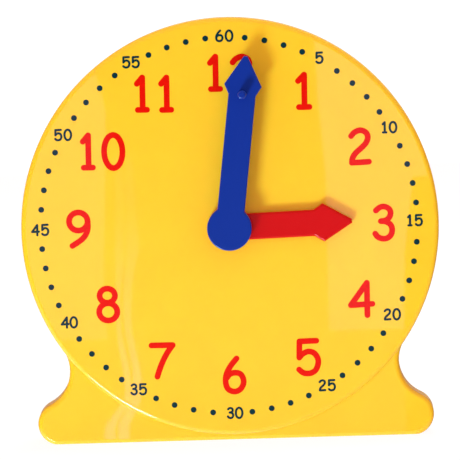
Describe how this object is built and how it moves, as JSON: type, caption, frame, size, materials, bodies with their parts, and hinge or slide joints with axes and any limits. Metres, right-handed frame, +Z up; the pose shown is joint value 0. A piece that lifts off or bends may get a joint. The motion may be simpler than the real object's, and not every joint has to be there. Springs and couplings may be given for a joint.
{
  "type": "geared teaching clock",
  "caption": "Round dial on a footed plastic case with minute and hour hands geared together, turned by a finger peg, for showing how to tell the time.",
  "frame": {"origin": "middle of the flat underside, on the surface the clock stands on", "axes": "+Z up, +X to the right as the dial is read, the dial faces -Y"},
  "size_m": [0.102, 0.0337, 0.1033],
  "materials": {
    "yellow_shell": "gloss",
    "yellow_cover": "gloss",
    "zinc_screws": "zinc plated",
    "bridge_plastic": "satin",
    "zinc_small_screws": "zinc plated",
    "hour_wheel_plastic": "satin",
    "compound_plastic": "satin",
    "pin_steel": "ground",
    "pinion_plastic": "satin",
    "arbor_steel": "ground",
    "washer_nylon": "satin",
    "spring_steel": "blued",
    "ring_steel": "phosphated",
    "red_hand": "gloss",
    "blue_hand": "gloss"
  },
  "bodies": {
    "case": {"front_housing": "yellow_shell", "back_cover": "yellow_cover", "cover_screws": "zinc_screws", "gear_bridge": "bridge_plastic", "bridge_screws": "zinc_small_screws", "compound_pin": "pin_steel", "thrust_washer": "washer_nylon", "front_pin_washer": "washer_nylon", "back_pin_washer": "washer_nylon", "drag_spring": "spring_steel"},
    "minute": {"minute_hand": "blue_hand", "minute_arbor": "arbor_steel", "minute_pinion": "pinion_plastic", "retaining_ring": "ring_steel", "spacer_washer": "washer_nylon"},
    "compound": {"compound_gear": "compound_plastic"},
    "hour": {"hour_hand": "red_hand", "hour_wheel": "hour_wheel_plastic"}
  },
  "joints": [
    {"name": "minute_turn", "type": "hinge", "parent": "case", "child": "minute", "pos_m": [0, 0, 0.05225], "axis": [0, 1, 0], "continuous": true},
    {"name": "compound_turn", "type": "hinge", "parent": "case", "child": "compound", "pos_m": [0, 0, 0.02825], "axis": [0, 1, 0], "continuous": true},
    {"name": "hour_turn", "type": "hinge", "parent": "case", "child": "hour", "pos_m": [0, 0, 0.05225], "axis": [0, 1, 0], "continuous": true}
  ],
  "couplings": [
    {"joint": "compound_turn", "follows": "minute_turn", "ratio": -0.33333},
    {"joint": "hour_turn", "follows": "minute_turn", "ratio": 0.083333}
  ]
}
